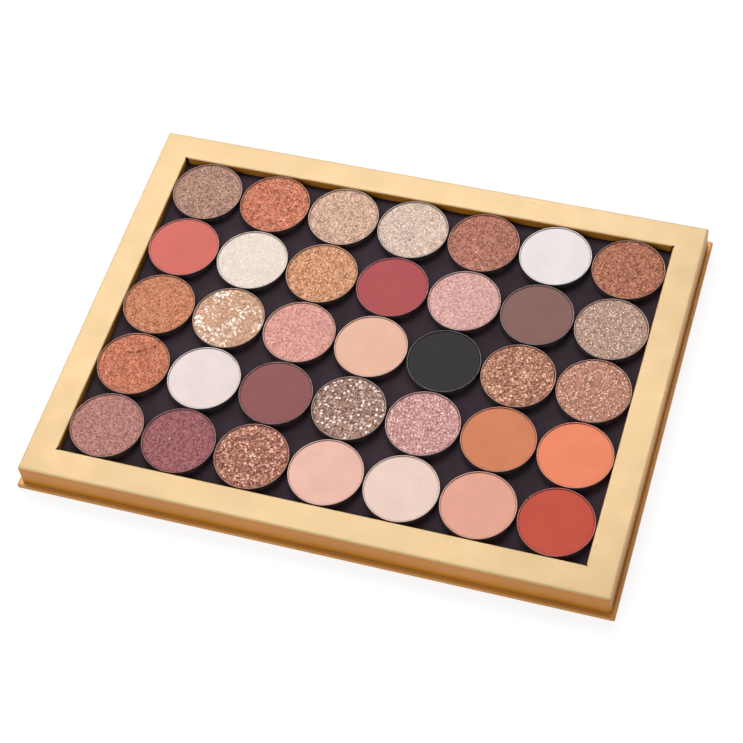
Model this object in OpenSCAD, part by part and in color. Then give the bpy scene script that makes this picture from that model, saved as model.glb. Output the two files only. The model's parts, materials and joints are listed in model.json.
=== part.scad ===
// Eyeshadow palette of 35 round pans in a low rigid-board box wrapped in gold foil paper.
// Millimetres. +X runs along the rows of pans, +Y points to the back row and +Z points up.
// The origin is on the surface that the palette lies on, under the middle of the box.

/* [Pans] */
// Outer diameter of a tin pan, the standard 26 mm refill size
pan_d = 26.5; // [20:0.5:30]
// Height of a tin pan
pan_h = 3.2; // [2.8:0.1:4.2]
// Gap between neighbouring pans
pan_gap = 0.65; // [0.4:0.05:3]
// Thickness of the tin
tin_t = 0.35; // [0.2:0.05:0.5]
// Radius of the bend where a pan's floor turns up into its wall
tin_bend_r = 0.8; // [0.6:0.1:1.2]
// How far the pressed powder lies below the pan's rim
powder_drop = 0.35; // [0.2:0.05:0.8]
// Width of the bevel around the pressed powder's top edge
powder_bevel = 0.3; // [0.1:0.05:0.5]

/* [Box] */
// Width of the flat border between the window and the outer edge
border = 11; // [8:0.5:25]
// Clearance between the end pans and the window, along X
side_clearance = 0.3; // [0.3:0.05:2]
// Clearance between the end rows and the window, along Y
end_clearance = 0.45; // [0.3:0.05:2]
// Height of the box above its base board
box_h = 9.5; // [7:0.5:16]
// How far the box's top stands above the pans' rims
rim_drop = 0.2; // [0.1:0.1:0.8]
// Radius of the folded edges along the top and at the corners
fold_r = 0.8; // [0.4:0.1:1.5]
// Thickness of the upright wall strips
wall_t = 2; // [1:0.1:3]

/* [Base board] */
// How far the base board stands out around the box
flange = 1.7; // [1:0.1:6]
// Thickness of the wrapped base board, liner included
base_t = 1.9; // [1.6:0.1:4]
// Radius of the base board's corners
base_corner_r = 0.6; // [0.4:0.1:3]

/* [Paper and magnet] */
// Thickness of the foil paper and of the liner paper
paper_t = 0.2; // [0.1:0.05:0.3]
// Thickness of the magnetic sheet
magnet_t = 0.6; // [0.4:0.1:1]
// Width of the foil paper turned in under the base board
turn_in = 12; // [6:1:20]
// Length of the slit where two window flaps of the foil paper part at a corner
slit = 0.9; // [0.3:0.1:1.5]

/* [Hidden] */
$fn = 96;
// Shades from the back row to the front row, left to right: name and colour
SHADES = [
    [["taupe", "#b28b7a"], ["coral_copper", "#cd8069"], ["rose_beige", "#d4ae9a"],
     ["champagne_foil", "#dcc1b1"], ["brown_rose", "#b27969"], ["lilac_white", "#efe6e3"],
     ["red_bronze", "#b07460"]],
    [["coral_pink", "#dc776d"], ["ivory", "#efdfd3"], ["golden_copper", "#d39976"],
     ["raspberry", "#b55a5d"], ["baby_pink", "#dbaba2"], ["cocoa", "#8c6a63"],
     ["silver_greige", "#bb9b8b"]],
    [["terracotta", "#ca8768"], ["gold_flake", "#dab49b"], ["rose_pink", "#db9f96"],
     ["peach_beige", "#eebca2"], ["black", "#3e3c3c"], ["bronze_flake", "#b78472"],
     ["rose_glitter", "#bc8b79"]],
    [["orange_copper", "#c87c63"], ["pale_pink", "#f0dddb"], ["plum_brown", "#945f60"],
     ["silver_flake", "#ae8f82"], ["mauve_glitter", "#cf9c98"], ["orange_tan", "#d58762"],
     ["bright_coral", "#ef8d6b"]],
    [["mauve_rose", "#b58179"], ["plum", "#a06669"], ["burgundy_glitter", "#b37d70"],
     ["light_pink", "#eebfaf"], ["cream", "#efd3c3"], ["salmon", "#e6a993"],
     ["red", "#c55748"]]
];
ROW_LETTERS = ["a", "b", "c", "d", "e"];
rows = len(SHADES);
columns = len(SHADES[0]);
function pan_name(row, column) =
    str("pan_", ROW_LETTERS[row], column + 1, "_", SHADES[row][column][0]);

GOLD = "#f0cf96";
GREYBOARD = "#9a938a";
MAGNET = "#3a333a";
LINER = "#4a4246";

// Pan grid and window
pitch = pan_d + pan_gap;
window_w = (columns - 1) * pitch + pan_d + 2 * side_clearance;
window_d = (rows - 1) * pitch + pan_d + 2 * end_clearance;

// Outer sizes
box_w = window_w + 2 * border;
box_d = window_d + 2 * border;
base_w = box_w + 2 * flange;
base_d = box_d + 2 * flange;

// Heights above the surface that the palette lies on
top_z = base_t + box_h;
floor_z = top_z - rim_drop - pan_h;
magnet_z = floor_z - magnet_t;
rail_z = floor_z + paper_t;
rail_h = top_z - paper_t - rail_z;

// Solids of one node that are glued or pressed together keep this hairline gap
seam = 0.05;
// A cut runs this far past the face that it opens
past = 1;

// A flat plate centred on the Z axis, with rounded upright corners
module plate(width, depth, height, corner_r) {
    linear_extrude(height)
        rounded_rectangle(width, depth, corner_r);
}

// A rectangle with true round corners
module rounded_rectangle(width, depth, corner_r) {
    square([width - 2 * corner_r, depth], center = true);
    square([width, depth - 2 * corner_r], center = true);
    for (x = [-1, 1], y = [-1, 1])
        translate([x * (width / 2 - corner_r), y * (depth / 2 - corner_r)])
            circle(corner_r);
}

// A box's side view that stands on the X axis, with its two upper corners rounded
module arched_side(width, height, edge_r) {
    translate([-width / 2, 0])
        square([width, height - edge_r]);
    translate([edge_r - width / 2, 0])
        square([width - 2 * edge_r, height]);
    for (x = [-1, 1])
        translate([x * (width / 2 - edge_r), height - edge_r])
            circle(edge_r);
}

// A block with rounded upright corners and rounded upper edges
module soft_block(width, depth, height, edge_r) {
    intersection() {
        plate(width, depth, height, edge_r);
        rotate([90, 0, 0])
            linear_extrude(depth, center = true)
                arched_side(width, height, edge_r);
        rotate([90, 0, 90])
            linear_extrude(width, center = true)
                arched_side(depth, height, edge_r);
    }
}

// A bar lying along X at depth y, or along Y at width x, from z upwards
module bar_x(length, thickness, y, z, height) {
    translate([-length / 2, y - thickness / 2, z])
        cube([length, thickness, height]);
}

module bar_y(length, thickness, x, z, height) {
    translate([x - thickness / 2, -length / 2, z])
        cube([thickness, length, height]);
}

// Chipboard core of the base
module base_board() {
    color(GREYBOARD)
        translate([0, 0, 2 * paper_t])
            plate(base_w - 2 * paper_t, base_d - 2 * paper_t, base_t - 3 * paper_t, base_corner_r);
}

// Foil paper around the base board: over its top, down its edges and turned in underneath
module base_wrap() {
    color(GOLD)
        difference() {
            translate([0, 0, paper_t])
                plate(base_w, base_d, base_t - paper_t, base_corner_r);
            translate([0, 0, 2 * paper_t])
                plate(base_w - 2 * paper_t, base_d - 2 * paper_t, base_t - 3 * paper_t,
                      base_corner_r);
            translate([0, 0, paper_t - past])
                plate(base_w - 2 * turn_in, base_d - 2 * turn_in, past + 2 * paper_t,
                      base_corner_r);
        }
}

// Paper glued over the underside, which the palette lies on
module base_liner() {
    color(LINER)
        plate(base_w - turn_in / 2, base_d - turn_in / 2, paper_t, base_corner_r);
}

// Outer size of the board parts under the foil paper, and the room between the wall strips
board_w = box_w - 2 * paper_t;
board_d = box_d - 2 * paper_t;
inside_w = board_w - 2 * wall_t - 4 * seam;
inside_d = board_d - 2 * wall_t - 4 * seam;
filler_h = (magnet_z - base_t) / 2;

// Two glued layers of greyboard that fill the box under the magnetic sheet
module filler_lower() {
    color(GREYBOARD)
        translate([0, 0, base_t])
            plate(inside_w, inside_d, filler_h, fold_r);
}

module filler_upper() {
    color(GREYBOARD)
        translate([0, 0, base_t + filler_h])
            plate(inside_w, inside_d, filler_h, fold_r);
}

// Upright greyboard strips around the box
module wall_front() {
    color(GREYBOARD)
        bar_x(board_w - 2 * fold_r, wall_t, (wall_t - board_d) / 2, base_t, rail_z - base_t);
}

module wall_back() {
    color(GREYBOARD)
        bar_x(board_w - 2 * fold_r, wall_t, (board_d - wall_t) / 2, base_t, rail_z - base_t);
}

module wall_left() {
    color(GREYBOARD)
        bar_y(inside_d, wall_t, (wall_t - board_w) / 2, base_t, rail_z - base_t);
}

module wall_right() {
    color(GREYBOARD)
        bar_y(inside_d, wall_t, (board_w - wall_t) / 2, base_t, rail_z - base_t);
}

// Dark magnetic rubber sheet that the pans hold on to
module magnet_sheet() {
    color(MAGNET)
        translate([0, 0, magnet_z])
            plate(inside_w, inside_d, magnet_t, fold_r);
}

// Greyboard rails of the picture frame around the window
rail_w = border - 2 * paper_t;
rail_gap = window_d + 2 * paper_t;

module rail_front() {
    color(GREYBOARD)
        rail()
            bar_x(board_w, rail_w, (rail_w - board_d) / 2, rail_z, rail_h);
}

module rail_back() {
    color(GREYBOARD)
        rail()
            bar_x(board_w, rail_w, (board_d - rail_w) / 2, rail_z, rail_h);
}

module rail_left() {
    color(GREYBOARD)
        rail()
            bar_y(rail_gap, rail_w, (rail_w - board_w) / 2, rail_z, rail_h);
}

module rail_right() {
    color(GREYBOARD)
        rail()
            bar_y(rail_gap, rail_w, (board_w - rail_w) / 2, rail_z, rail_h);
}

// A rail's outer upper edge is rounded to lie under the fold of the foil paper
module rail() {
    intersection() {
        children();
        translate([0, 0, base_t])
            soft_block(board_w, board_d, box_h - paper_t, fold_r - paper_t);
    }
}

// One sheet of foil paper: over the frame's top, down its outer sides, and down its window
// edges as four flaps that are turned in under the rails
module frame_wrap() {
    color(GOLD)
        difference() {
            translate([0, 0, base_t])
                soft_block(box_w, box_d, box_h, fold_r);
            translate([0, 0, base_t - past])
                soft_block(board_w, board_d, box_h - paper_t + past, fold_r - paper_t);
            window_cut();
        }
    color(GOLD)
        for (side = [-1, 1]) {
            window_flap_x(side);
            window_flap_y(side);
        }
}

// The window through the frame's top
module window_cut() {
    translate([0, 0, floor_z - past])
        linear_extrude(top_z - floor_z + 2 * past)
            square([window_w, window_d], center = true);
}

// Width of a window flap's part that is turned in under a rail
flap_turn_in = 5;

// A window flap along the front or back edge, slit at both corners
module window_flap_x(side) {
    length = window_w - 2 * slit;
    bar_x(length, paper_t, side * (window_d + paper_t) / 2, floor_z, top_z - floor_z);
    bar_x(length, flap_turn_in, side * (window_d + flap_turn_in) / 2, floor_z, paper_t);
}

// A window flap along the left or right edge, slit at both corners
module window_flap_y(side) {
    length = window_d - 2 * slit;
    bar_y(length, paper_t, side * (window_w + paper_t) / 2, floor_z, top_z - floor_z);
    bar_y(length, flap_turn_in, side * (window_w + flap_turn_in) / 2, floor_z, paper_t);
}

// A tin pan with its cake of pressed powder, in its place on the magnetic sheet
module pan(row, column) {
    x = (column - (columns - 1) / 2) * pitch;
    y = ((rows - 1) / 2 - row) * pitch;
    translate([x, y, floor_z]) {
        color("silver")
            tin();
        color(SHADES[row][column][1])
            powder();
    }
}

// The drawn tin cup: a flat floor, a round bend and a thin upright wall
module tin() {
    rotate_extrude()
        difference() {
            bent_section(pan_d / 2, pan_h, tin_bend_r);
            translate([0, tin_t])
                bent_section(pan_d / 2 - tin_t, pan_h, tin_bend_r - tin_t);
        }
}

// The pressed powder: it fills the tin and has a narrow bevel around its top
module powder() {
    powder_r = pan_d / 2 - tin_t - seam;
    powder_z = tin_t + seam;
    powder_h = pan_h - powder_drop - powder_z;
    translate([0, 0, powder_z])
        rotate_extrude()
            intersection() {
                bent_section(powder_r, powder_h, tin_bend_r - tin_t);
                polygon([
                    [0, 0],
                    [powder_r, 0],
                    [powder_r, powder_h - powder_bevel],
                    [powder_r - powder_bevel, powder_h],
                    [0, powder_h]
                ]);
            }
}

// Half of a dish's section: a rectangle from the axis outwards with a round lower corner
module bent_section(radius, height, bend_r) {
    square([radius - bend_r, height]);
    translate([0, bend_r])
        square([radius, height - bend_r]);
    intersection() {
        translate([radius - bend_r, bend_r])
            circle(bend_r);
        square([radius, height]);
    }
}

BOX_NODES = [
    "base_board", "base_wrap", "base_liner", "filler_lower", "filler_upper",
    "wall_front", "wall_back", "wall_left", "wall_right", "magnet_sheet",
    "rail_front", "rail_back", "rail_left", "rail_right", "frame_wrap"
];
PAN_NODES = [for (row = [0:rows - 1], column = [0:columns - 1]) pan_name(row, column)];

base_board();
base_wrap();
base_liner();
filler_lower();
filler_upper();
wall_front();
wall_back();
wall_left();
wall_right();
magnet_sheet();
rail_front();
rail_back();
rail_left();
rail_right();
frame_wrap();
for (row = [0:rows - 1], column = [0:columns - 1])
    pan(row, column);
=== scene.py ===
"""Looks of the open eyeshadow palette: foil-wrapped box, magnetic well and 35 filled pans.

Lengths are written in millimetres and turned into metres where meshes are made.
"""

import json
import math
from dataclasses import dataclass

import bpy
import numpy as np
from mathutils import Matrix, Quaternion, Vector


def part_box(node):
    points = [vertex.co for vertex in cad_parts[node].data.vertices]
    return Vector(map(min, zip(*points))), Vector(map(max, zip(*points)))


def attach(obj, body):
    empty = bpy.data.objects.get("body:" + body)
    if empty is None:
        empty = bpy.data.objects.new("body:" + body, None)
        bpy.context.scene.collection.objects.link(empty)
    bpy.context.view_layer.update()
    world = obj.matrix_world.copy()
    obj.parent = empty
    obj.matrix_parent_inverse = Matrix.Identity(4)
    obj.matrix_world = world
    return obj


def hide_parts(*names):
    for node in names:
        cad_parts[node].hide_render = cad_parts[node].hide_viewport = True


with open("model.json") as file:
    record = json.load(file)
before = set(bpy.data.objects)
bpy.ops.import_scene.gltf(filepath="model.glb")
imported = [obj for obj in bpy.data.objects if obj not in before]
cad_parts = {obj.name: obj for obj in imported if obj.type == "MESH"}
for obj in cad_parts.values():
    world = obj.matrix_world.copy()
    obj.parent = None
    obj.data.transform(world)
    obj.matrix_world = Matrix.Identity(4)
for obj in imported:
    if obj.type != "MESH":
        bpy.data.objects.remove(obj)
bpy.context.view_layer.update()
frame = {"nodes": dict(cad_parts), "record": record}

MM = 0.001
SEED = 35


# ---------------------------------------------------------------- sizes from the frame

def box_mm(node):
    """Lowest and highest corner of a CAD node, in millimetres."""
    low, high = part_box(node)
    return np.array(low) / MM, np.array(high) / MM


FOIL_LOW, FOIL_HIGH = box_mm("frame_wrap")
BASE_LOW, BASE_HIGH = box_mm("base_wrap")
SHEET_LOW, SHEET_HIGH = box_mm("magnet_sheet")
PAN_LOW, PAN_HIGH = box_mm("pan_a1_taupe")
RAIL_RIGHT_LOW, _ = box_mm("rail_right")
RAIL_BACK_LOW, _ = box_mm("rail_back")

PAPER_T = 0.2  # foil paper over the rails
TOP_Z = FOIL_HIGH[2]
BOX_HALF = FOIL_HIGH[:2]
WINDOW_HALF = np.array([RAIL_RIGHT_LOW[0] - PAPER_T, RAIL_BACK_LOW[1] - PAPER_T])
BASE_HALF = BASE_HIGH[:2]
BASE_Z = FOIL_LOW[2]
FLOOR_Z = SHEET_HIGH[2]
RIM_Z = PAN_HIGH[2]
PAN_R = (PAN_HIGH[0] - PAN_LOW[0]) / 2
PAN_H = PAN_HIGH[2] - PAN_LOW[2]


# ---------------------------------------------------------------- seeded noise

# Large odd numbers that send neighbouring cells and seeds far apart
SCATTER_X = 374761393
SCATTER_Y = 668265263
SCATTER_SEED = 982451653
SCATTER_AGAIN = 1274126177
HASH_COUNT = 0x1000000


def hashed(ix, iy, seed):
    """A repeatable number from 0 to 1 for each whole-number cell."""
    n = ix.astype(np.int64) * SCATTER_X + iy.astype(np.int64) * SCATTER_Y + seed * SCATTER_SEED
    n = (n ^ (n >> 13)) * SCATTER_AGAIN
    n = n ^ (n >> 16)
    return (n & (HASH_COUNT - 1)) / HASH_COUNT


def smooth_noise(x, y, size, seed):
    """Value noise from -1 to 1 with features of about the given size."""
    u, v = x / size, y / size
    iu, iv = np.floor(u), np.floor(v)
    fu, fv = u - iu, v - iv
    fu, fv = fu * fu * (3 - 2 * fu), fv * fv * (3 - 2 * fv)
    low = hashed(iu, iv, seed) * (1 - fu) + hashed(iu + 1, iv, seed) * fu
    high = hashed(iu, iv + 1, seed) * (1 - fu) + hashed(iu + 1, iv + 1, seed) * fu
    return 2 * (low * (1 - fv) + high * fv) - 1


def layered_noise(x, y, size, seed, layers=3):
    """Several layers of value noise, each half as large and half as strong."""
    total = np.zeros_like(x)
    for k in range(layers):
        total += smooth_noise(x, y, size / 2**k, seed + 17 * k) / 2**k
    return total


def flake_relief(x, y, size, seed):
    """Height of about -1 to 1 on a surface of flat flakes, each tilted its own way."""
    u, v = x / size, y / size
    iu, iv = np.floor(u), np.floor(v)
    nearest = np.full(x.shape, np.inf)
    height = np.zeros_like(x)
    for du in (-1, 0, 1):
        for dv in (-1, 0, 1):
            cu, cv = iu + du, iv + dv
            px = cu + hashed(cu, cv, seed)
            py = cv + hashed(cu, cv, seed + 1)
            distance = (u - px) ** 2 + (v - py) ** 2
            tilt_u = 2 * hashed(cu, cv, seed + 2) - 1
            tilt_v = 2 * hashed(cu, cv, seed + 3) - 1
            lift = 2 * hashed(cu, cv, seed + 4) - 1
            here = 0.6 * lift + tilt_u * (u - px) + tilt_v * (v - py)
            closer = distance < nearest
            nearest = np.where(closer, distance, nearest)
            height = np.where(closer, here, height)
    return height


# ---------------------------------------------------------------- meshes

def add_piece(name, points, faces, material, body, node=None):
    """Makes a smooth-shaded mesh from points in millimetres and puts it on its CAD body."""
    mesh = bpy.data.meshes.new(name)
    mesh.from_pydata((np.asarray(points, float) * MM).tolist(), [], faces)
    mesh.polygons.foreach_set("use_smooth", [True] * len(mesh.polygons))
    mesh.materials.append(material)
    piece = bpy.data.objects.new(name, mesh)
    bpy.context.scene.collection.objects.link(piece)
    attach(piece, body)
    if node is not None:
        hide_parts(node)


def strip_faces(columns, rows, closed, start=0):
    """Quads between neighbouring rings of a grid stored ring by ring."""
    faces = []
    last = columns if closed else columns - 1
    for r in range(rows - 1):
        for c in range(last):
            a = start + r * columns + c
            b = start + r * columns + (c + 1) % columns
            faces.append((a, b, b + columns, a + columns))
    return faces


# Each corner of a ring: side in x, side in y, angle in degrees where its arc starts
CORNER_TURNS = [(1, -1, -90), (1, 1, 0), (-1, 1, 90), (-1, -1, 180)]
CORNER_STEPS = 8
SIDE_STEPS = (132, 98)  # along x, along y
SHARP_R = 0.05  # the smallest radius of a ring's corner


def rounded_ring(half, radius, z):
    """A level rectangle with round corners, anticlockwise, always with the same point count."""
    arcs = []
    for side_x, side_y, turn in CORNER_TURNS:
        angles = np.radians(turn + 90 * np.arange(CORNER_STEPS + 1) / CORNER_STEPS)
        arcs.append(np.column_stack([
            side_x * (half[0] - radius) + radius * np.cos(angles),
            side_y * (half[1] - radius) + radius * np.sin(angles),
        ]))
    points = []
    for k, arc in enumerate(arcs):
        following = arcs[(k + 1) % 4][0]
        steps = SIDE_STEPS[(k + 1) % 2]
        share = (np.arange(1, steps) / steps)[:, None]
        points += [arc, arc[-1] + (following - arc[-1]) * share]
    ring = np.vstack(points)
    return np.column_stack([ring, np.full(len(ring), z)])


def swept_rings(half, radius, section):
    """A rounded ring for each (outwards, height) of a section."""
    return [rounded_ring(half + out, max(radius + out, SHARP_R), z) for out, z in section]


def arc_section(out, z, radius, start, stop, steps):
    """Points of a rounded fold in a section, from one angle to another."""
    angles = [math.radians(start + (stop - start) * k / steps) for k in range(steps + 1)]
    return [(out + radius * math.cos(a), z + radius * math.sin(a)) for a in angles]


# ---------------------------------------------------------------- materials

def srgb(code, strength=1.0):
    """A linear colour from a hex code, scaled in brightness."""
    values = [int(code[k:k + 2], 16) / 255 for k in (1, 3, 5)]
    linear = [v / 12.92 if v <= 0.04045 else ((v + 0.055) / 1.055) ** 2.4 for v in values]
    return (*[min(1.0, v * strength) for v in linear], 1.0)


def toned(code, amount):
    """The colour made deeper (amount below 0) or paler (above 0)."""
    red, green, blue, _ = srgb(code)
    if amount < 0:
        return (*[(1 + amount) * v ** (1 - 0.5 * amount) for v in (red, green, blue)], 1.0)
    return (*[min(1.0, v * (1 + 0.5 * amount) + 0.16 * amount) for v in (red, green, blue)], 1.0)


def paler(code, share):
    """The colour mixed with a share of white."""
    return (*[v + share * (1 - v) for v in srgb(code)[:3]], 1.0)


# Where the Mix node keeps its factor and its colours
MIX_FACTOR = 0
MIX_A = 6
MIX_B = 7
MIX_RESULT = 2


class Shader:
    """Short helpers around one material's node tree."""

    def __init__(self, name):
        self.material = bpy.data.materials.new(name)
        self.material.use_nodes = True
        self.tree = self.material.node_tree
        self.surface = self.tree.nodes["Principled BSDF"]
        self.place = self.node("ShaderNodeTexCoord").outputs["Object"]

    def node(self, kind, **settings):
        made = self.tree.nodes.new(kind)
        for key, value in settings.items():
            setattr(made, key, value)
        return made

    def link(self, source, target):
        self.tree.links.new(source, target)

    def set(self, **values):
        for key, value in values.items():
            self.surface.inputs[key.replace("_", " ")].default_value = value

    def noise(self, size_mm, detail=2.0, roughness=0.5, seed=0.0):
        """Noise with features of about the given size."""
        moved = self.node("ShaderNodeVectorMath", operation="ADD")
        self.link(self.place, moved.inputs[0])
        away = 13 * seed * size_mm * MM
        moved.inputs[1].default_value = (away, 0.7 * away, 1.3 * away)
        made = self.node("ShaderNodeTexNoise")
        self.link(moved.outputs[0], made.inputs["Vector"])
        made.inputs["Scale"].default_value = 1 / (size_mm * MM)
        made.inputs["Detail"].default_value = detail
        made.inputs["Roughness"].default_value = roughness
        return made.outputs["Fac"]

    def cells(self, size_mm):
        """Voronoi cells of about the given size."""
        made = self.node("ShaderNodeTexVoronoi")
        self.link(self.place, made.inputs["Vector"])
        made.inputs["Scale"].default_value = 1 / (size_mm * MM)
        return made

    def ramp(self, value, stops):
        """Colours or greys along a value: stops are (place, colour)."""
        made = self.node("ShaderNodeValToRGB")
        while len(made.color_ramp.elements) < len(stops):
            made.color_ramp.elements.new(0.5)
        for element, (place, colour) in zip(made.color_ramp.elements, stops):
            element.position = place
            element.color = colour if len(colour) == 4 else (*colour, 1)
        self.link(value, made.inputs["Fac"])
        return made.outputs["Color"]

    def greys(self, value, first, last, start=0.3, stop=0.7):
        """Greys from the first to the last while a value goes from start to stop."""
        return self.ramp(value, [(start, (first,) * 3), (stop, (last,) * 3)])

    def mix(self, factor, a, b, blend="MIX"):
        """One colour over the other, by a factor or by a mask."""
        made = self.node("ShaderNodeMix", data_type="RGBA", blend_type=blend)
        for index, value in ((MIX_FACTOR, factor), (MIX_A, a), (MIX_B, b)):
            socket = made.inputs[index]
            if hasattr(value, "links"):
                self.link(value, socket)
            else:
                socket.default_value = value
        return made.outputs[MIX_RESULT]

    def smooth_step(self, value, low, high, top=1.0):
        """Rises smoothly from 0 to the top value while the input goes from low to high."""
        made = self.node("ShaderNodeMapRange", interpolation_type="SMOOTHSTEP")
        self.link(value, made.inputs["Value"])
        made.inputs["From Min"].default_value = low
        made.inputs["From Max"].default_value = high
        made.inputs["To Max"].default_value = top
        return made.outputs["Result"]

    def upward(self, vector):
        """The Z part of a vector."""
        parts = self.node("ShaderNodeSeparateXYZ")
        self.link(vector, parts.inputs[0])
        return parts.outputs["Z"]

    def bump(self, height, depth_mm, after=None):
        """The normal of a relief of the given depth, on top of an earlier one if given."""
        made = self.node("ShaderNodeBump")
        self.link(height, made.inputs["Height"])
        made.inputs["Distance"].default_value = depth_mm * MM
        made.inputs["Strength"].default_value = 1.0
        if after is not None:
            self.link(after, made.inputs["Normal"])
        return made.outputs["Normal"]

    def tilted_flakes(self, colour, amount, normal):
        """Turns the normal of each cell its own way, by its random colour."""
        spread = self.node("ShaderNodeVectorMath", operation="MULTIPLY_ADD")
        self.link(colour, spread.inputs[0])
        spread.inputs[1].default_value = (2 * amount,) * 3
        spread.inputs[2].default_value = (-amount,) * 3
        total = self.node("ShaderNodeVectorMath", operation="ADD")
        self.link(normal, total.inputs[0])
        self.link(spread.outputs[0], total.inputs[1])
        unit = self.node("ShaderNodeVectorMath", operation="NORMALIZE")
        self.link(total.outputs[0], unit.inputs[0])
        return unit.outputs[0]

    def finish(self, colour, roughness=None, normal=None):
        """Links what is given to the surface and returns the material."""
        for key, value in (("Base Color", colour), ("Roughness", roughness), ("Normal", normal)):
            if value is not None:
                self.link(value, self.surface.inputs[key])
        return self.material


def gold_foil(name, flank_code, painted_highlight_code):
    """Satin gold foil paper: deeper gold on upright faces; faces that point up get a paler gold, a
    painted highlight.
    """
    s = Shader(name)
    s.set(Metallic=0.1, IOR=1.6, Specular_IOR_Level=0.22)
    normal = s.node("ShaderNodeNewGeometry").outputs["Normal"]
    # painted highlight: the base colour turns paler gold as a face points up
    painted_highlight_share = s.smooth_step(s.upward(normal), 0.15, 0.8)
    tint_with_painted_highlight = s.mix(painted_highlight_share, srgb(flank_code), srgb(painted_highlight_code))
    cloud = s.greys(s.noise(30, 2, seed=1.0), 0.90, 1.0)
    fibre_tone = s.greys(s.noise(0.8, 3, seed=2.0), 0.95, 1.0)
    colour = s.mix(1.0, s.mix(1.0, tint_with_painted_highlight, cloud, "MULTIPLY"), fibre_tone, "MULTIPLY")
    rough = s.greys(s.noise(9, 3, seed=3.0), 0.27, 0.36)
    waves = s.bump(s.noise(12, 1, seed=4.0), 0.15)
    fibre = s.bump(s.noise(0.9, 3, seed=5.0), 0.006, waves)
    return s.finish(colour, rough, fibre)


def greyboard():
    """Recycled board with short fibres and flecks, darkened to a deep grey as painted shade for where
    it shows in the slits at the window's corners.
    """
    s = Shader("greyboard")
    s.set(Roughness=0.9)
    # painted shade: the board's greys are darker than the board's own
    flecks = s.ramp(s.noise(0.8, 4, 0.7), [(0.35, srgb("#35312e")), (0.65, srgb("#4c4641"))])
    return s.finish(flecks, normal=s.bump(s.noise(0.4, 4, 0.7), 0.05))


def liner_paper():
    """Dark uncoated paper on the underside."""
    s = Shader("liner_paper")
    s.set(Roughness=0.8)
    fibres = s.ramp(s.noise(1.2, 5, 0.7), [(0.35, srgb("#3d373a")), (0.65, srgb("#4c4549"))])
    return s.finish(fibres, normal=s.bump(s.noise(0.3, 4, 0.7), 0.02))


def magnetic_rubber():
    """Matte charcoal rubber sheet with a faint violet cast and fine dust."""
    s = Shader("magnetic_rubber")
    s.set(Specular_IOR_Level=0.12)
    cast = s.ramp(s.noise(16, 3), [(0.3, srgb("#2b2127")), (0.7, srgb("#352830"))])
    dust = s.greys(s.noise(0.22, 2, seed=3.0), 0.0, 0.35, 0.66, 0.8)
    colour = s.mix(dust, cast, srgb("#7a6d70"))
    rough = s.greys(s.noise(5, 3, seed=7.0), 0.62, 0.75)
    return s.finish(colour, rough, s.bump(s.noise(0.25, 3), 0.02))


def dusted_tin_with_painted_light(name, code):
    """Drawn tinplate: a dark wall of scuffing and painted shade for its dark reflection, with powder
    dust on the lip and inside, paled as a painted highlight.
    """
    s = Shader(name)
    s.set(Metallic=0.3)
    # dark wall colour: partly scuffing, partly painted shade for the wall's dark reflection
    scuff_and_painted_shade = s.ramp(s.noise(2.5, 4, 0.7), [(0.35, srgb("#3b3231")), (0.7, srgb("#51484a"))])
    # powder dust mixed with white: partly real dust, partly a painted highlight
    dust = s.ramp(s.noise(0.9, 3, 0.6, seed=4.0), [(0.3, srgb(code)), (0.7, paler(code, 0.22))])
    # painted highlight on the lip and inside, painted shade on the wall below
    dust_from, dust_full = RIM_Z - 0.35, RIM_Z - 0.08
    lip = s.smooth_step(s.upward(s.place), dust_from * MM, dust_full * MM, 0.85)
    colour = s.mix(lip, scuff_and_painted_shade, dust)
    rough = s.greys(s.noise(0.9, 3, seed=2.0), 0.32, 0.5)
    return s.finish(colour, rough, s.bump(s.noise(0.3, 2), 0.01))


def matte_powder(name, code):
    """Smooth pressed matte powder: almost even colour, soft chalky grain."""
    s = Shader(name)
    s.set(Roughness=0.7, Specular_IOR_Level=0.25)
    cloud = s.ramp(s.noise(7, 3), [(0.3, srgb(code, 0.96)), (0.7, srgb(code, 1.03))])
    grain = s.greys(s.noise(0.16, 2, seed=2.0), 0.95, 1.0)
    colour = s.mix(0.8, cloud, grain, "MULTIPLY")
    return s.finish(colour, normal=s.bump(s.noise(0.14, 2), 0.010))


def grain_colour(s, code, finish, grains, specks):
    """Tones of single grains and finer specks, painted shade in the spaces between them and soft
    clouds.
    """
    tone = s.ramp(grains.outputs["Color"], [
        (0.25, toned(code, -finish.contrast)),
        (0.50, srgb(code)),
        (0.75, toned(code, finish.contrast)),
    ])
    fine_tone = s.ramp(specks.outputs["Color"], [
        (0.30, toned(code, -finish.contrast)),
        (0.70, toned(code, 0.7 * finish.contrast)),
    ])
    # painted shade: spaces between the grains darken to a deep tone of the powder
    gap_shade_strength = min(1.0, 1.3 * finish.contrast)
    painted_gap_shade = s.greys(specks.outputs["Distance"], 0.0, gap_shade_strength, 0.30, 0.75)
    colour = s.mix(painted_gap_shade, s.mix(0.4, tone, fine_tone), toned(code, -0.75))
    cloud = s.greys(s.noise(4.5, 3, seed=6.0), 0.86, 1.0)
    return s.mix(finish.clouds, colour, cloud, "MULTIPLY")


def flake_mask(s, finish):
    """Where loose round flakes and clumps of flakes lie on the powder."""
    flakes = s.cells(finish.flake)
    disc = s.greys(flakes.outputs["Distance"], 1.0, 0.0, 0.30, 0.48)
    chosen = s.greys(flakes.outputs["Color"], 0.0, finish.flake_cover,
                     finish.flakes_from, finish.flakes_from + 0.06)
    patch = s.greys(s.noise(6, 2, seed=9.0), finish.spread, 1.0, 0.42, 0.58)
    clumps = s.greys(s.noise(1.7, 3, 0.65, seed=11.0), 0.0, finish.clump, 0.52, 0.64)
    flaked = s.mix(1.0, s.mix(1.0, disc, chosen, "MULTIPLY"), clumps, "LIGHTEN")
    return s.mix(1.0, flaked, patch, "MULTIPLY")


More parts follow.
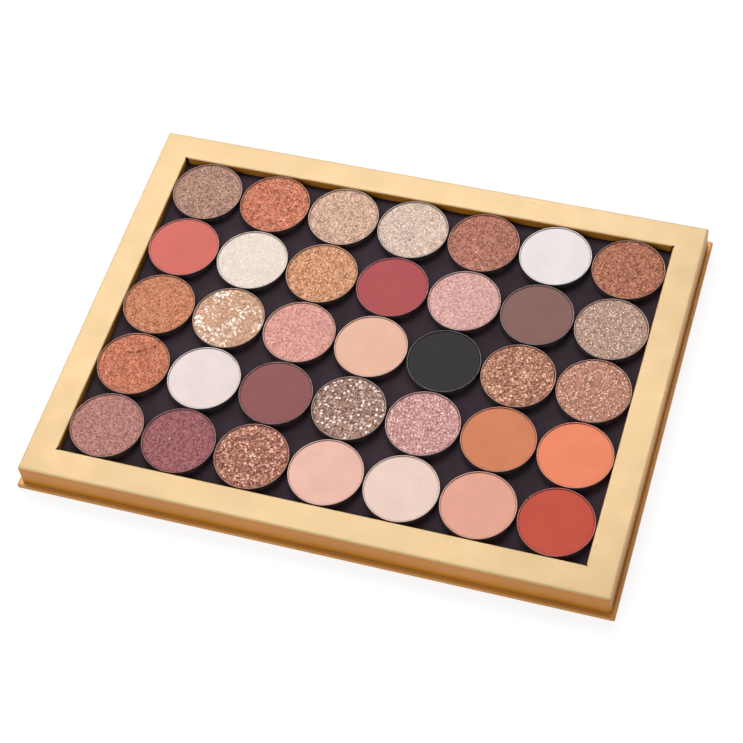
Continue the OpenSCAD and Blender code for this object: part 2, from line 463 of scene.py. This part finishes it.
def pearl_powder(name, code, finish):
    """Pressed pearl or glitter powder: every grain has its own tone and tilt, with loose flakes."""
    s = Shader(name)
    s.set(IOR=1.5, Specular_IOR_Level=0.3, Metallic=finish.metal)
    grains = s.cells(finish.grain)
    specks = s.cells(finish.grain * 0.6)
    powder = grain_colour(s, code, finish, grains, specks)
    colour = s.mix(flake_mask(s, finish), powder, srgb(finish.flake_colour))
    rough = s.greys(specks.outputs["Color"], 0.6, 0.42, 0.25, 0.75)
    relief = s.bump(s.noise(finish.grain * 1.6, 2), 0.08 * finish.grain)
    normal = s.tilted_flakes(grains.outputs["Color"], finish.tilt, relief)
    return s.finish(colour, rough, normal)


# ---------------------------------------------------------------- shades

# Each shade: CAD node, colour, finish ("matte" or a key of FINISHES)
SHADES = [
    ("pan_a1_taupe", "#ae826c", "sparkle"),
    ("pan_a2_coral_copper", "#c87450", "copper"),
    ("pan_a3_rose_beige", "#d4ac94", "sparkle"),
    ("pan_a4_champagne_foil", "#ccb2a2", "foil"),
    ("pan_a5_brown_rose", "#b26c52", "sparkle"),
    ("pan_a6_lilac_white", "#e2d8d8", "matte"),
    ("pan_a7_red_bronze", "#b46e4c", "copper"),
    ("pan_b1_coral_pink", "#c8665c", "matte"),
    ("pan_b2_ivory", "#e4d4c8", "satin"),
    ("pan_b3_golden_copper", "#d2966c", "copper"),
    ("pan_b4_raspberry", "#a84a4c", "matte"),
    ("pan_b5_baby_pink", "#cc9c94", "shimmer"),
    ("pan_b6_cocoa", "#805c56", "matte"),
    ("pan_b7_silver_greige", "#b4907c", "foil"),
    ("pan_c1_terracotta", "#ba744c", "pearl"),
    ("pan_c2_gold_flake", "#c09474", "patchy"),
    ("pan_c3_rose_pink", "#cc9084", "shimmer"),
    ("pan_c4_peach_beige", "#e0b098", "matte"),
    ("pan_c5_black", "#282424", "matte"),
    ("pan_c6_bronze_flake", "#be8060", "embers"),
    ("pan_c7_rose_glitter", "#b87e66", "foil"),
    ("pan_d1_orange_copper", "#b86a48", "pearl"),
    ("pan_d2_pale_pink", "#e0d0cc", "matte"),
    ("pan_d3_plum_brown", "#885050", "matte"),
    ("pan_d4_silver_flake", "#ac8470", "glitter"),
    ("pan_d5_mauve_glitter", "#c48e8a", "foil"),
    ("pan_d6_orange_tan", "#cc7c56", "matte"),
    ("pan_d7_bright_coral", "#e88460", "matte"),
    ("pan_e1_mauve_rose", "#a87066", "shimmer"),
    ("pan_e2_plum", "#904c50", "shimmer"),
    ("pan_e3_burgundy_glitter", "#b47058", "embers"),
    ("pan_e4_light_pink", "#e4b4a4", "matte"),
    ("pan_e5_cream", "#e6cabc", "matte"),
    ("pan_e6_salmon", "#dea08c", "matte"),
    ("pan_e7_red", "#be4c3a", "matte"),
]


@dataclass
class Finish:
    """How a pearl or glitter powder looks; lengths in millimetres."""
    grain: float  # size of a grain
    contrast: float  # how far the grains' tones lie apart
    tilt: float  # how far the grains' normals are turned
    metal: float  # metallic share of the surface
    relief: float  # depth of the pressed grain in the mesh
    clouds: float = 0.6  # share of soft, larger shades
    flake: float = 0.8  # size of the cells that hold one loose flake each
    flakes_from: float = 0.9  # cells above this random value hold a flake
    flake_cover: float = 0.7  # how fully a flake hides the powder
    clump: float = 0.0  # how fully a clump of flakes hides the powder
    spread: float = 1.0  # share of the flakes that is left in the sparse patches
    flake_colour: str = "#f0dccb"


FINISHES = {
    "satin": Finish(grain=0.45, contrast=0.16, tilt=0.10, metal=0.05, relief=0.010,
                    flake=0.60, flakes_from=0.80, flake_cover=0.6, flake_colour="#b48a66"),
    "shimmer": Finish(grain=0.55, contrast=0.31, tilt=0.09, metal=0.25, relief=0.025),
    "sparkle": Finish(grain=0.58, contrast=0.54, tilt=0.12, metal=0.25, relief=0.035),
    "pearl": Finish(grain=0.55, contrast=0.36, tilt=0.11, metal=0.35, relief=0.035, clouds=1.0),
    "copper": Finish(grain=0.62, contrast=0.56, tilt=0.13, metal=0.35, relief=0.05, clouds=1.0),
    "foil": Finish(grain=0.50, contrast=0.43, tilt=0.13, metal=0.30, relief=0.03,
                   flake=0.65, flakes_from=0.64),
    "patchy": Finish(grain=0.50, contrast=0.36, tilt=0.13, metal=0.25, relief=0.05,
                     flake=1.1, flakes_from=0.60, spread=0.10, flake_cover=0.9,
                     clump=0.75, flake_colour="#fff6ee"),
    "glitter": Finish(grain=0.64, contrast=0.66, tilt=0.18, metal=0.30, relief=0.06,
                      flake=1.25, flakes_from=0.46, flake_cover=0.9, spread=0.45,
                      flake_colour="#f2e2da"),
    "embers": Finish(grain=0.60, contrast=0.66, tilt=0.18, metal=0.30, relief=0.06,
                     flake=1.10, flakes_from=0.48, flake_cover=0.8, spread=0.50,
                     flake_colour="#eec0a8"),
}


def powder_material(name, code, finish):
    """The material for a finish's name."""
    if finish == "matte":
        return matte_powder(name, code)
    return pearl_powder(name, code, FINISHES[finish])


# ---------------------------------------------------------------- pans

# Millimetres
LIP_T = 0.30  # thickness of the rolled lip and of the tin's wall
LIP_WAVE = 0.03  # how far the lip is off level
TIN_BEND_R = 0.8  # bend from the floor to the wall
TIN_STEPS = 128
POWDER_DROP = 0.32  # from the lip down to the powder's face
POWDER_GAP = 0.02  # between the powder and the wall
POWDER_CELLS = 96
BEVEL_W = 0.55  # rounded edge of the powder
BEVEL_H = 0.14
PRESS_WAVE = 0.02  # unevenness of the whole pressed face
MATTE_RELIEF = 0.005
CAKE_FOOT = 0.5  # where the powder's side ends, as a share of the tin's height


def crease(corners, radius, depth):
    """Small pressed marks in a row along a bent line."""
    marks = []
    for (x, y), (next_x, next_y) in zip(corners, corners[1:]):
        steps = round(math.hypot(next_x - x, next_y - y) / radius)
        for k in range(steps):
            marks.append((x + (next_x - x) * k / steps, y + (next_y - y) * k / steps, radius, depth))
    return marks


# Small wear marks on single pans: (x from the pan's centre, y, radius, depth), in mm
MARKS = {
    "e7": [(8.9, 0.7, 0.45, 0.18), (8.4, 0.3, 0.3, 0.10)],
    "b1": [(-4.4, 3.5, 0.25, -0.08)],
    "d1": [
        *crease([(-4.3, 3.7), (-0.9, 4.4), (2.5, 6.6), (6.0, 8.8)], 0.5, 0.16),
        *crease([(1.5, 3.8), (3.4, 5.0), (4.4, 6.8)], 0.5, 0.13),
    ],
    "c1": [(4.0, 6.0, 1.5, 0.18), (0.5, 7.2, 0.9, 0.14)],
}


def tin_section():
    """Section of the drawn cup as (radius, height): floor, bend, wall, rolled lip, inside."""
    lip_r = LIP_T / 2
    section = [(0.0, 0.0), (PAN_R * 0.5, 0.0)]
    section += arc_section(PAN_R - TIN_BEND_R, TIN_BEND_R, TIN_BEND_R, -90, 0, 6)
    section += [(PAN_R, PAN_H * 0.45), (PAN_R, PAN_H * 0.8)]
    section += arc_section(PAN_R - lip_r, PAN_H - lip_r, lip_r, 0, 180, 8)
    section += [(PAN_R - LIP_T, PAN_H - POWDER_DROP), (PAN_R - LIP_T, PAN_H * CAKE_FOOT)]
    section += [(PAN_R - LIP_T, TIN_BEND_R), (PAN_R - LIP_T - 0.5, LIP_T), (0.0, LIP_T)]
    return section


def add_tin(label, node, centre, material, seed):
    """The tin cup, with a lip that isn't perfectly level."""
    angles = np.linspace(0, 2 * math.pi, TIN_STEPS, endpoint=False)
    wobble = LIP_WAVE * np.abs(layered_noise(np.cos(angles) * 3, np.sin(angles) * 3, 1.3, seed))
    rings = []
    for radius, height in tin_section():
        rings.append(np.column_stack([
            centre[0] + radius * np.cos(angles),
            centre[1] + radius * np.sin(angles),
            centre[2] + height - wobble * (height / PAN_H) ** 4,
        ]))
    faces = strip_faces(TIN_STEPS, len(rings), closed=True)
    add_piece(f"tin_{label}", np.vstack(rings), faces, material, node, node)


def disc_grid(count):
    """A square grid mapped onto the unit disc: x, y, faces, and its outer loop in order."""
    side = np.linspace(-1, 1, count + 1)
    a, b = np.meshgrid(side, side, indexing="ij")
    wide = np.abs(a) > np.abs(b)
    radius = np.where(wide, a, b)
    with np.errstate(divide="ignore", invalid="ignore"):
        angle = np.where(wide, math.pi / 4 * b / a, math.pi / 2 - math.pi / 4 * a / b)
    angle = np.nan_to_num(angle)
    x, y = radius * np.cos(angle), radius * np.sin(angle)
    index = np.arange((count + 1) ** 2).reshape(count + 1, count + 1)
    loop = [*index[:-1, 0], *index[-1, :-1], *index[:0:-1, -1], *index[0, :0:-1]]
    corners = [index[:-1, :-1], index[1:, :-1], index[1:, 1:], index[:-1, 1:]]
    faces = np.stack(corners, axis=-1).reshape(-1, 4).tolist()
    return x.ravel(), y.ravel(), [tuple(face) for face in faces], [int(k) for k in loop]


DISC_X, DISC_Y, DISC_FACES, DISC_LOOP = disc_grid(POWDER_CELLS)


def powder_height(x, y, label, finish, seed):
    """Relief of the pressed powder's face, in millimetres, before its bevel."""
    height = PRESS_WAVE * layered_noise(x, y, 9.0, seed)
    for mark_x, mark_y, radius, depth in MARKS.get(label, []):
        spread = ((x - mark_x) ** 2 + (y - mark_y) ** 2) / radius**2
        height -= depth * np.exp(-spread)
    if finish == "matte":
        return height + MATTE_RELIEF * layered_noise(x, y, 0.8, seed + 3)
    kind = FINISHES[finish]
    height += kind.relief * flake_relief(x, y, kind.grain * 1.4, seed + 5)
    return height + 0.5 * kind.relief * layered_noise(x, y, 4 * kind.grain, seed + 9)


def add_powder(label, node, centre, finish, material, seed):
    """The cake of pressed powder: textured face, soft bevel and a short side wall."""
    radius = PAN_R - LIP_T - POWDER_GAP
    x, y = DISC_X * radius, DISC_Y * radius
    edge = np.clip((np.hypot(x, y) - (radius - BEVEL_W)) / BEVEL_W, 0, 1)
    face_z = centre[2] + PAN_H - POWDER_DROP
    relief = powder_height(x, y, label, finish, seed) * (1 - 0.6 * edge)
    top = np.column_stack([centre[0] + x, centre[1] + y, face_z + relief - BEVEL_H * edge**2])
    wall = top[DISC_LOOP].copy()
    wall[:, 2] = centre[2] + PAN_H * CAKE_FOOT
    count = len(DISC_LOOP)
    faces = list(DISC_FACES)
    for k in range(count):
        n = (k + 1) % count
        faces.append((DISC_LOOP[k], len(top) + k, len(top) + n, DISC_LOOP[n]))
    points = np.vstack([top, wall])
    add_piece(f"powder_{label}", points, faces, material, node, node)


def add_pan(number, node, code, finish):
    """One tin with its powder, on their own CAD body."""
    low, high = box_mm(node)
    centre = [(low[0] + high[0]) / 2, (low[1] + high[1]) / 2, low[2]]
    label = node.split("_")[1]
    seed = SEED + 101 * number
    add_tin(label, node, centre, dusted_tin_with_painted_light(f"tin_{label}", code), seed)
    add_powder(label, node, centre, finish, powder_material(f"powder_{label}", code, finish), seed)


# ---------------------------------------------------------------- box

# Millimetres, and counts of rings and cells
SKIN = 0.07  # how far the foil's mesh stays inside the CAD box
CORNER_R = 0.7  # upright corners of the box
FOLD_R = 0.7  # fold from the sides to the top
WINDOW_FOLD_R = 0.55  # fold from the top down into the well
FOOT_H = 0.3  # soft lower edge of the box's foil
SLIT = 0.9  # how much each end of a window flap falls short
FLAP_BUCKLE = 0.05  # how far a flap stands into the well
FOIL_WAVE = 0.03
SIDE_DENT = 0.02
SIDE_RINGS = 5
TOP_RINGS = 12
FLAP_RINGS = 5
BASE_CORNER_R = 0.7
BASE_EDGE_R = 0.45
TURN_IN = 12.0  # how far the base's foil is turned in underneath
SHEET_CELLS = (150, 112)
SHEET_SKIN = 0.02  # how far the sheet's mesh stays inside the CAD sheet
SHEET_WAVE = 0.015


def foil_waves(x, y):
    """Slight unevenness of paper glued over board, in millimetres."""
    return FOIL_WAVE * layered_noise(x, y, 16.0, SEED + 1, 2)


def pulled_in(points, half):
    """Moves points of an upright face inwards by a small uneven amount."""
    inside = np.clip(points[:, :2], -half, half)
    outward = points[:, :2] - inside
    outward /= np.maximum(np.linalg.norm(outward, axis=1, keepdims=True), 1e-6)
    along = points[:, 0] - points[:, 1]
    depth = SIDE_DENT * np.abs(layered_noise(along, points[:, 2] * 2, 11.0, SEED + 2))
    moved = points.copy()
    moved[:, :2] -= outward * depth[:, None]
    return moved


def add_frame_foil():
    """The foil sheet of the frame: outer sides, folds, flat top and window flaps."""
    half, radius = BOX_HALF - SKIN, CORNER_R
    shoulder = TOP_Z - SKIN - FOLD_R
    foot = BASE_Z + FOOT_H
    side = [(-0.12, BASE_Z + 0.01), (-0.02, BASE_Z + 0.08), (0.0, foot)]
    side += [(0.0, foot + (shoulder - foot) * k / SIDE_RINGS) for k in range(1, SIDE_RINGS)]
    fold = arc_section(-FOLD_R, shoulder, FOLD_R, 0, 90, 9)
    rings = [pulled_in(ring, half - radius) for ring in swept_rings(half, radius, side)]
    rings += swept_rings(half, radius, fold)
    inner = WINDOW_HALF + WINDOW_FOLD_R
    for k in range(1, TOP_RINGS + 1):
        share = k / TOP_RINGS
        ring_half = (half - FOLD_R) * (1 - share) + inner * share
        ring_radius = (radius - FOLD_R) * (1 - share) + SHARP_R * share
        ring = rounded_ring(ring_half, ring_radius, TOP_Z - SKIN)
        ring[:, 2] += foil_waves(ring[:, 0], ring[:, 1]) * math.sin(math.pi * share)
        rings.append(ring)
    faces = strip_faces(len(rings[0]), len(rings), closed=True)
    flap_points, flap_faces = window_flaps(sum(len(ring) for ring in rings))
    points = np.vstack(rings + flap_points)
    add_piece("frame_foil", points, faces + flap_faces, FOIL, "root",
              "frame_wrap")


def window_flaps(start):
    """Four flaps folded down the well's walls; each gets shorter below the fold at its ends."""
    fold_z = TOP_Z - SKIN - WINDOW_FOLD_R
    section = [(WINDOW_FOLD_R - out, z) for out, z in arc_section(0, fold_z, WINDOW_FOLD_R, 90, 0, 7)]
    drop = fold_z - FLOOR_Z - 0.05
    section += [(0.0, fold_z - drop * k / FLAP_RINGS) for k in range(1, FLAP_RINGS + 1)]
    points, faces = [], []
    for axis, side in ((0, -1), (0, 1), (1, -1), (1, 1)):
        count = SIDE_STEPS[1 - axis] + 1
        unit = np.linspace(-1, 1, count)
        for row, (out, z) in enumerate(section):
            share = row / (len(section) - 1)
            length = WINDOW_HALF[1 - axis] + out - SLIT * min(1, 3 * share)
            along = unit * length
            own_row = np.full(count, 7.0 * side + axis)
            buckle = FLAP_BUCKLE * np.abs(layered_noise(along, own_row, 14.0, SEED + 9))
            ring = np.empty((count, 3))
            ring[:, axis] = side * (WINDOW_HALF[axis] + out - buckle * share)
            ring[:, 1 - axis] = along
            ring[:, 2] = z
            points.append(ring)
        made = strip_faces(count, len(section), closed=False, start=start)
        if (side > 0) == (axis == 0):
            made = [tuple(reversed(face)) for face in made]
        faces += made
        start += count * len(section)
    return points, faces


def add_base_foil():
    """Foil paper around the base board: turned in below, soft edges and a ledge on top."""
    half = BASE_HALF - SKIN
    low, high = BASE_LOW[2] + 0.02, BASE_Z - 0.03
    section = [(-TURN_IN, low), (-TURN_IN / 3, low)]
    section += arc_section(-BASE_EDGE_R, low + BASE_EDGE_R, BASE_EDGE_R, -90, 0, 5)
    section += arc_section(-BASE_EDGE_R, high - BASE_EDGE_R, BASE_EDGE_R, 0, 90, 6)
    section += [(-1.2, high), (-1.6, high - 0.04), (-2.4, high - 0.06), (-6.0, high - 0.06)]
    rings = swept_rings(half, BASE_CORNER_R, section)
    faces = strip_faces(len(rings[0]), len(rings), closed=True)
    add_piece("base_foil", np.vstack(rings), faces, BASE_FOIL, "root",
              "base_wrap")


def add_magnet_floor():
    """The magnetic sheet: a thin plate with a faintly uneven face."""
    half = SHEET_HIGH[:2]
    nx, ny = SHEET_CELLS
    xs = np.linspace(-half[0], half[0], nx)
    ys = np.linspace(-half[1], half[1], ny)
    x, y = np.meshgrid(xs, ys)
    z = SHEET_HIGH[2] - SHEET_SKIN + SHEET_WAVE * layered_noise(x, y, 18.0, SEED + 21)
    top = np.column_stack([x.ravel(), y.ravel(), z.ravel()])
    under = top.copy()
    under[:, 2] = SHEET_LOW[2] + SHEET_SKIN
    faces = strip_faces(nx, ny, closed=False)
    faces += [tuple(reversed([k + len(top) for k in f])) for f in faces]
    rim = list(range(nx)) + [r * nx + nx - 1 for r in range(1, ny)]
    rim += [(ny - 1) * nx + c for c in range(nx - 2, -1, -1)] + [r * nx for r in range(ny - 2, 0, -1)]
    for k, a in enumerate(rim):
        b = rim[(k + 1) % len(rim)]
        faces.append((b, a, a + len(top), b + len(top)))
    add_piece("magnet_floor", np.vstack([top, under]), faces, MAGNET, "root",
              "magnet_sheet")


@dataclass
class Crumbs:
    """Loose powder: a spot in millimetres, how many crumbs, how far they spread, their size."""
    spot: tuple
    count: int
    spread: tuple
    size: float


FLOOR_CRUMBS = [
    Crumbs((-72.6, -39.3, FLOOR_Z), 4, (1.8, 0.6), 0.14),
    Crumbs((18.5, -39.4, FLOOR_Z), 3, (1.4, 0.8), 0.12),
]
RIM_CRUMBS = [Crumbs((78.7, 66.4, RIM_Z - 0.22), 4, (1.4, 0.3), 0.2)]
CRUMB_STEPS = 7
CRUMB_RINGS = ((0.9, 0.0), (1.2, 0.35), (0.7, 0.8))  # reach and height, as shares of its size


def crumb(centre, size, seed):
    """Points and faces of one small irregular crumb that rests on its underside."""
    points = []
    for ring, (reach, height) in enumerate(CRUMB_RINGS):
        for step in range(CRUMB_STEPS):
            angle = 2 * math.pi * step / CRUMB_STEPS
            uneven = hashed(np.array([step]), np.array([ring]), seed)[0]
            radius = size * reach * (0.7 + 0.6 * uneven)
            points.append(centre + np.array([radius * math.cos(angle), radius * math.sin(angle),
                                             size * height]))
    tip = len(points)
    points.append(centre + np.array([0, 0, size]))
    faces = strip_faces(CRUMB_STEPS, len(CRUMB_RINGS), closed=True)
    last = tip - CRUMB_STEPS
    faces += [(last + n, last + (n + 1) % CRUMB_STEPS, tip) for n in range(CRUMB_STEPS)]
    faces.append(tuple(reversed(range(CRUMB_STEPS))))
    return points, faces


def add_crumbs(name, groups, material, body):
    """A few crumbs of loose powder lying where they fell."""
    points, faces = [], []
    for group in groups:
        for k in range(group.count):
            seed = SEED + 50 * k + int(abs(group.spot[0]))
            pick = [hashed(np.array([k]), np.array([n]), seed)[0] - 0.5 for n in range(3)]
            shift = np.array([group.spread[0] * pick[0], group.spread[1] * pick[1], 0.0])
            size = group.size * (1 + 0.8 * pick[2])
            made, made_faces = crumb(np.array(group.spot) + shift, size, seed)
            faces += [tuple(n + len(points) for n in face) for face in made_faces]
            points += made
    add_piece(name, points, faces, material, body)


# ---------------------------------------------------------------- build

# each foil's second colour is the painted highlight on faces that point up
FOIL = gold_foil("gold_foil", "#bf7c24", "#cfae7c")
BASE_FOIL = gold_foil("base_gold_foil", "#bf7c24", "#cc934a")
GREYBOARD_WITH_PAINTED_SHADE = greyboard()
LINER = liner_paper()
MAGNET = magnetic_rubber()
COPPER_CRUMB = matte_powder("copper_crumbs", "#8f5640")
PALE_CRUMB = matte_powder("pale_crumbs", "#e8c9b8")

slot_of = {row["node"]: row["material_slot"] for row in frame["record"]["subparts"]}
by_slot = {"greyboard": GREYBOARD_WITH_PAINTED_SHADE, "liner_paper": LINER}
for node, obj in frame["nodes"].items():
    if slot_of[node] in by_slot:
        obj.data.materials.clear()
        obj.data.materials.append(by_slot[slot_of[node]])

add_frame_foil()
add_base_foil()
add_magnet_floor()
add_crumbs("floor_crumbs", FLOOR_CRUMBS, COPPER_CRUMB, "root")
add_crumbs("rim_crumbs", RIM_CRUMBS, PALE_CRUMB, "pan_a7_red_bronze")
for number, shade in enumerate(SHADES):
    add_pan(number, *shade)


# ---------------------------------------------------------------- stage, light and camera

FLOOR_HALF = 1.6  # metres


def add_floor():
    """A plain pale floor that glows a little, so that it stays bright under soft light."""
    half = FLOOR_HALF
    mesh = bpy.data.meshes.new("floor")
    mesh.from_pydata([(-half, -half, 0), (half, -half, 0), (half, half, 0), (-half, half, 0)], [],
                     [(0, 1, 2, 3)])
    s = Shader("floor")
    s.set(Roughness=0.9, Emission_Color=(1, 1, 1, 1), Emission_Strength=0.82)
    s.finish(s.greys(s.noise(400), 0.20, 0.22))
    mesh.materials.append(s.material)
    floor = bpy.data.objects.new("floor", mesh)
    bpy.context.scene.collection.objects.link(floor)


def add_area_light(name, place, size, power):
    """A white rectangular light that shines at the middle of the floor; metres and watts."""
    data = bpy.data.lights.new(name, "AREA")
    data.shape = "RECTANGLE"
    data.size, data.size_y = size
    data.energy = power
    lamp = bpy.data.objects.new(name, data)
    bpy.context.scene.collection.objects.link(lamp)
    lamp.location = place
    lamp.rotation_euler = (-Vector(place)).to_track_quat("-Z", "Y").to_euler()


def add_lights():
    """A softbox mirrored in the foil's top, a fill from the front and a strip on each side."""
    world = bpy.data.worlds.new("studio")
    world.use_nodes = True
    world.node_tree.nodes["Background"].inputs["Color"].default_value = (1, 1, 1, 1)
    world.node_tree.nodes["Background"].inputs["Strength"].default_value = 0.2
    bpy.context.scene.world = world
    add_area_light("key_softbox", (-0.25, 0.58, 0.90), (0.80, 0.62), 9.5)
    add_area_light("front_fill", (-0.30, -0.82, 0.60), (1.00, 0.50), 5.0)
    add_area_light("left_strip", (-0.85, 0.45, 0.45), (0.70, 0.25), 3.0)
    add_area_light("right_strip", (0.85, 0.50, 0.35), (0.60, 0.20), 1.8)


def add_camera():
    """The camera, by its angles around the point it looks at; lengths in metres."""
    azimuth, elevation, roll = math.radians(23.64), math.radians(55.43), math.radians(-8.35)
    distance = 0.7457
    aim = Vector((0.0003, -0.0035, 0.0))
    back = Vector((math.sin(azimuth) * math.cos(elevation),
                   -math.cos(azimuth) * math.cos(elevation), math.sin(elevation)))
    data = bpy.data.cameras.new("camera")
    data.sensor_width = 36
    data.lens = 100
    data.clip_start, data.clip_end = 0.05, 10
    camera = bpy.data.objects.new("camera", data)
    bpy.context.scene.collection.objects.link(camera)
    camera.location = aim + back * distance
    camera.rotation_mode = "QUATERNION"
    camera.rotation_quaternion = Quaternion(back, roll) @ (-back).to_track_quat("-Z", "Y")
    bpy.context.scene.camera = camera


add_floor()
add_lights()
add_camera()
bpy.context.scene.view_settings.view_transform = "Standard"
